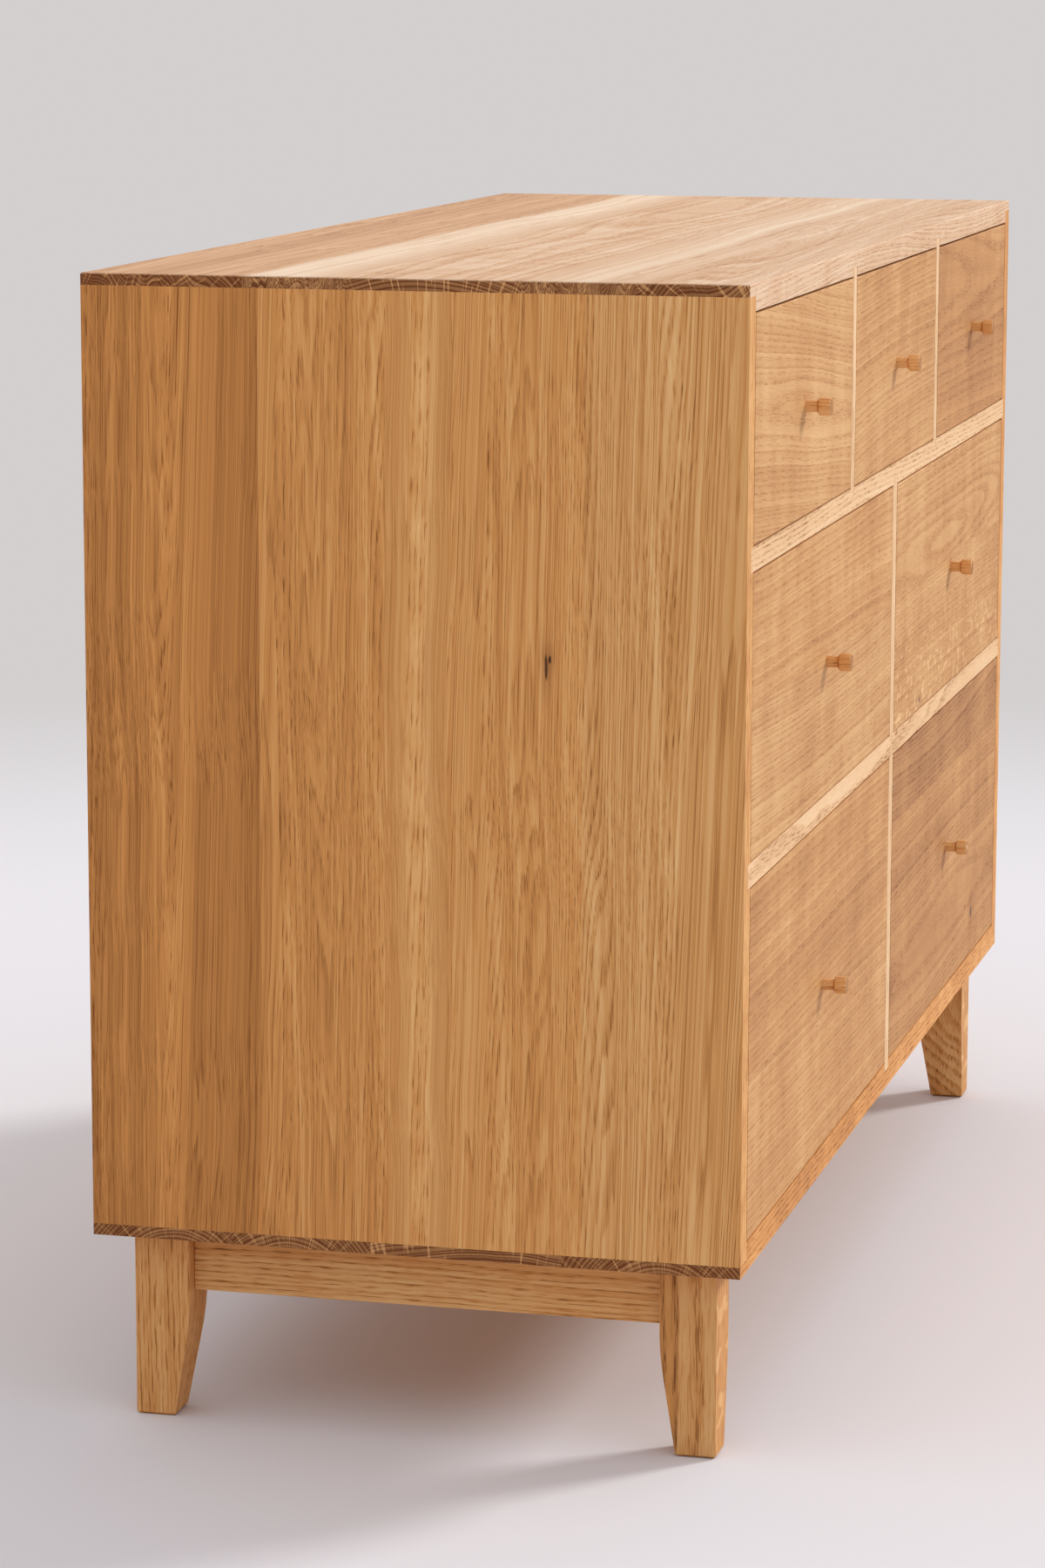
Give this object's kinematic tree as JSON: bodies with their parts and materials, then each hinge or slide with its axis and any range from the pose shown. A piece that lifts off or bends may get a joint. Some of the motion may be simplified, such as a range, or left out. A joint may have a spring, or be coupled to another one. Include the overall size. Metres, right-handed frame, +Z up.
{
  "type": "dresser",
  "caption": "Solid oak dresser with rows of inset drawers, small turned knobs and a lapped case on square tapered legs.",
  "frame": {"origin": "on the floor, in the middle of the overall width and of the overall depth with the knobs", "axes": "+X to the right seen from the front, +Y from the drawer fronts to the back, +Z up"},
  "size_m": [1.264, 0.528, 0.886],
  "materials": {
    "case_oak": "satin clear oil",
    "leg_oak": "satin clear oil",
    "front_oak": "satin clear oil",
    "inner_oak": "plain planed",
    "screw_steel": "zinc plated"
  },
  "bodies": {
    "case": {"top_panel": "case_oak", "bottom_panel": "case_oak", "left_side": "case_oak", "right_side": "case_oak", "upper_shelf": "case_oak", "lower_shelf_left": "case_oak", "lower_shelf_right": "case_oak", "centre_divider": "case_oak", "upper_divider_left": "case_oak", "upper_divider_right": "case_oak", "back_panel": "inner_oak", "back_panel_screws": "screw_steel", "drawer_stops": "inner_oak", "left_leg_rail": "leg_oak", "right_leg_rail": "leg_oak", "leg_dowels": "inner_oak", "leg_rail_screws": "screw_steel", "front_left_leg": "leg_oak", "front_right_leg": "leg_oak", "back_left_leg": "leg_oak", "back_right_leg": "leg_oak"},
    "top_left_drawer": {"top_left_drawer_front": "front_oak", "top_left_drawer_sides": "inner_oak", "top_left_drawer_back": "inner_oak", "top_left_drawer_bottom": "inner_oak", "top_left_drawer_knob": "front_oak"},
    "top_centre_drawer": {"top_centre_drawer_front": "front_oak", "top_centre_drawer_sides": "inner_oak", "top_centre_drawer_back": "inner_oak", "top_centre_drawer_bottom": "inner_oak", "top_centre_drawer_knob": "front_oak"},
    "top_right_drawer": {"top_right_drawer_front": "front_oak", "top_right_drawer_sides": "inner_oak", "top_right_drawer_back": "inner_oak", "top_right_drawer_bottom": "inner_oak", "top_right_drawer_knob": "front_oak"},
    "middle_left_drawer": {"middle_left_drawer_front": "front_oak", "middle_left_drawer_sides": "inner_oak", "middle_left_drawer_back": "inner_oak", "middle_left_drawer_bottom": "inner_oak", "middle_left_drawer_knob": "front_oak"},
    "middle_right_drawer": {"middle_right_drawer_front": "front_oak", "middle_right_drawer_sides": "inner_oak", "middle_right_drawer_back": "inner_oak", "middle_right_drawer_bottom": "inner_oak", "middle_right_drawer_knob": "front_oak"},
    "bottom_left_drawer": {"bottom_left_drawer_front": "front_oak", "bottom_left_drawer_sides": "inner_oak", "bottom_left_drawer_back": "inner_oak", "bottom_left_drawer_bottom": "inner_oak", "bottom_left_drawer_knob": "front_oak"},
    "bottom_right_drawer": {"bottom_right_drawer_front": "front_oak", "bottom_right_drawer_sides": "inner_oak", "bottom_right_drawer_back": "inner_oak", "bottom_right_drawer_bottom": "inner_oak", "bottom_right_drawer_knob": "front_oak"}
  },
  "joints": [
    {"name": "top_left_drawer_slide", "type": "slide", "parent": "case", "child": "top_left_drawer", "axis": [0, -1, 0], "range_m": [0, 0.36]},
    {"name": "top_centre_drawer_slide", "type": "slide", "parent": "case", "child": "top_centre_drawer", "axis": [0, -1, 0], "range_m": [0, 0.36]},
    {"name": "top_right_drawer_slide", "type": "slide", "parent": "case", "child": "top_right_drawer", "axis": [0, -1, 0], "range_m": [0, 0.36]},
    {"name": "middle_left_drawer_slide", "type": "slide", "parent": "case", "child": "middle_left_drawer", "axis": [0, -1, 0], "range_m": [0, 0.36]},
    {"name": "middle_right_drawer_slide", "type": "slide", "parent": "case", "child": "middle_right_drawer", "axis": [0, -1, 0], "range_m": [0, 0.36]},
    {"name": "bottom_left_drawer_slide", "type": "slide", "parent": "case", "child": "bottom_left_drawer", "axis": [0, -1, 0], "range_m": [0, 0.36]},
    {"name": "bottom_right_drawer_slide", "type": "slide", "parent": "case", "child": "bottom_right_drawer", "axis": [0, -1, 0], "range_m": [0, 0.36]}
  ]
}
